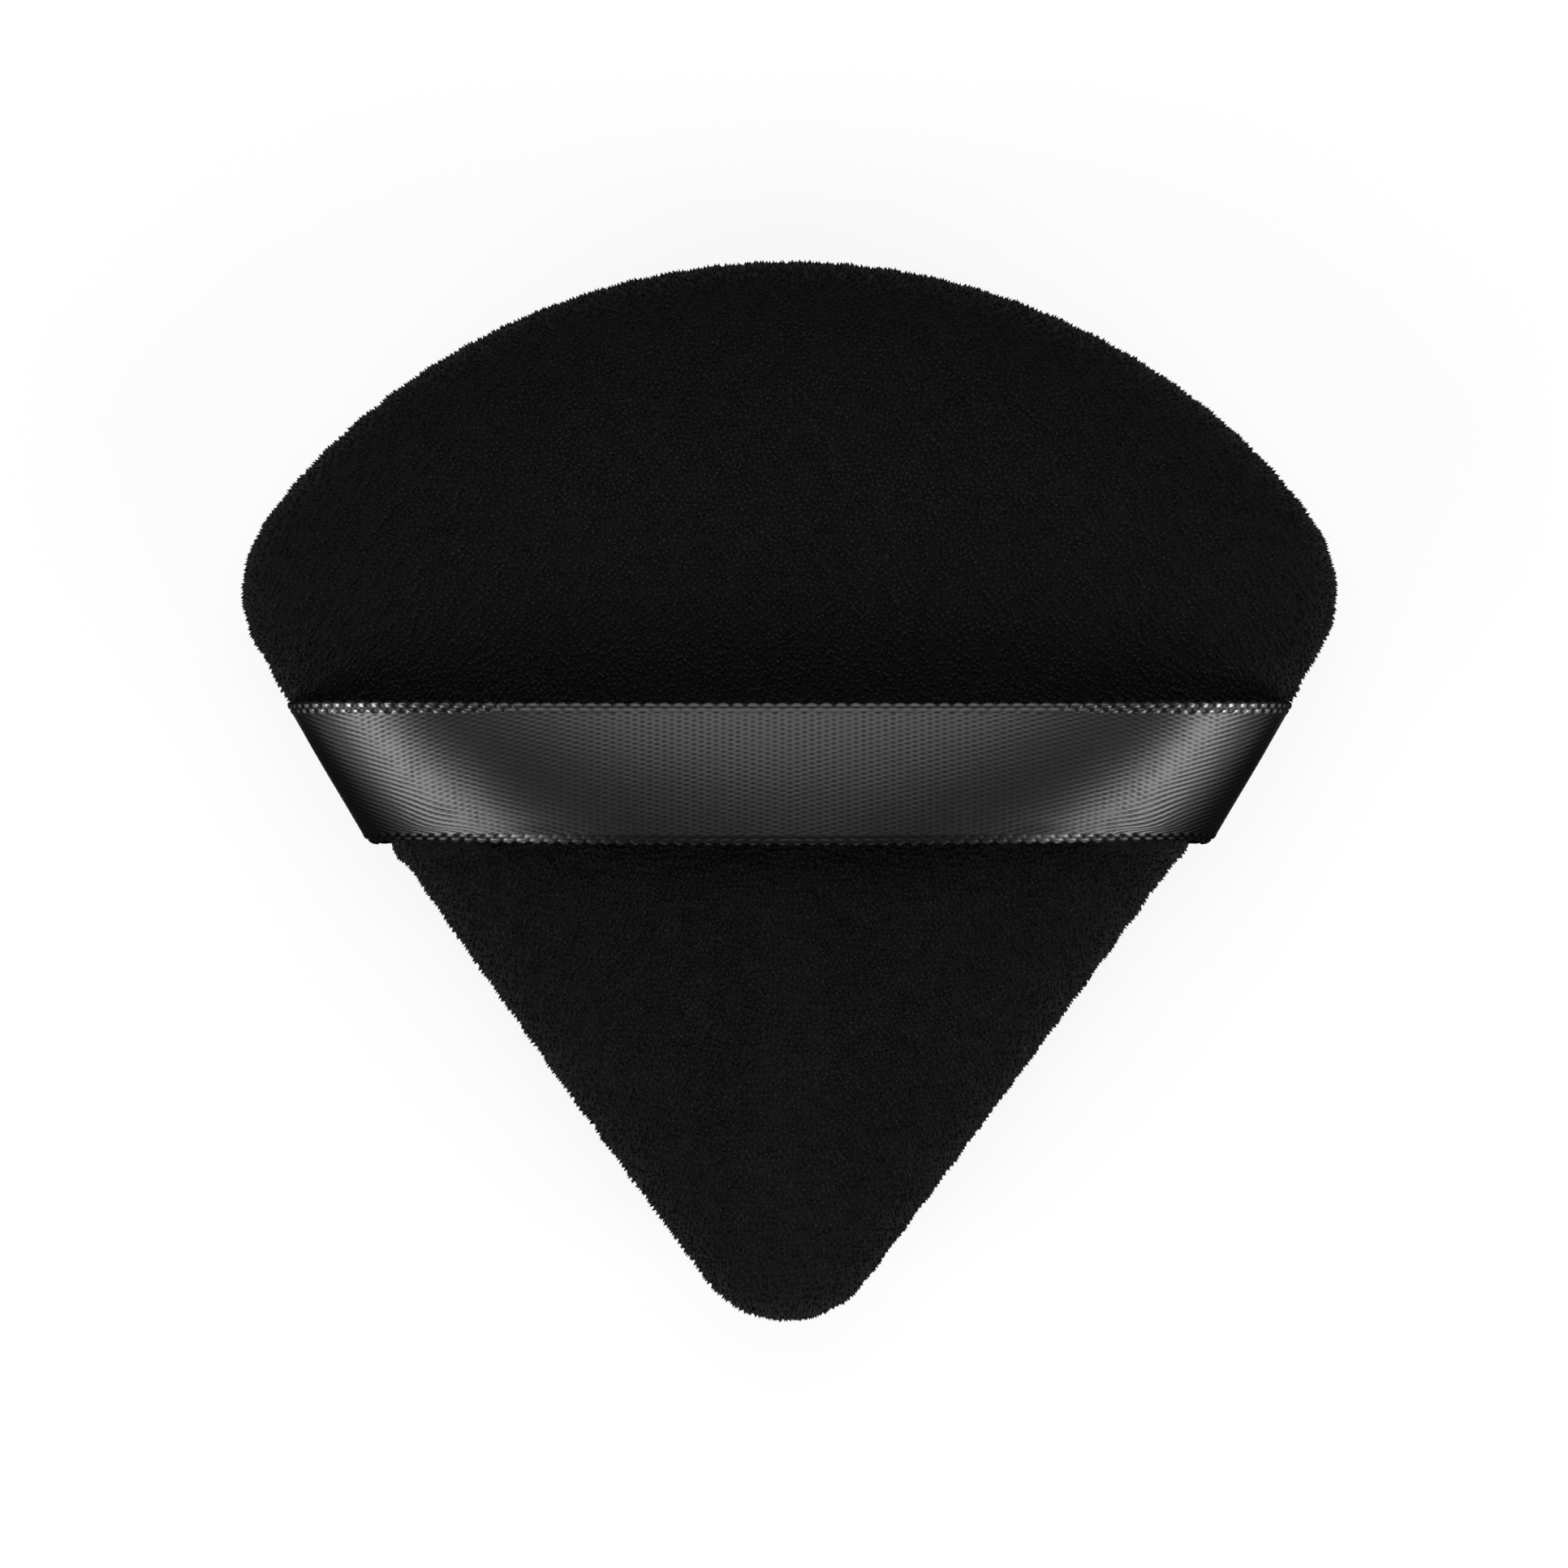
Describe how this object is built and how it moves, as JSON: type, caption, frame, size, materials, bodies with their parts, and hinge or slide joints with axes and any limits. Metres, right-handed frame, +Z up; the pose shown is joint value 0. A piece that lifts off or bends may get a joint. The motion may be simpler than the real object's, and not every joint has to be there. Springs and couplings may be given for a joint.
{
  "type": "powder puff",
  "caption": "Cushioned fan-shaped velour powder puff with a satin ribbon strap bowed across its back as a finger loop.",
  "frame": {"origin": "on the surface that the puff rests on, under the middle of its outline", "axes": "+Z up through the puff to the strap, +Y towards the wide fan edge, -Y towards the tip, X along the strap"},
  "size_m": [0.075, 0.0724, 0.0197],
  "materials": {
    "back_velour": "matte",
    "front_velour": "matte",
    "sponge": "matte",
    "sewing_thread": "matte",
    "satin_ribbon": "satin"
  },
  "bodies": {
    "puff": {"back_velour_panel": "back_velour", "front_velour_panel": "front_velour", "foam_core": "sponge", "seam_needle_thread": "sewing_thread", "seam_bobbin_thread": "sewing_thread", "closing_thread": "sewing_thread", "strap_left_end": "satin_ribbon", "strap_right_end": "satin_ribbon"},
    "strap": {"strap_middle": "satin_ribbon"}
  },
  "joints": [
    {"name": "strap_lift", "type": "slide", "parent": "puff", "child": "strap", "axis": [0, 0, 1], "range_m": [-0.0045, 0.003], "stiffness_N_per_m": 20, "deforming": ["strap_left_end", "strap_right_end"]}
  ]
}
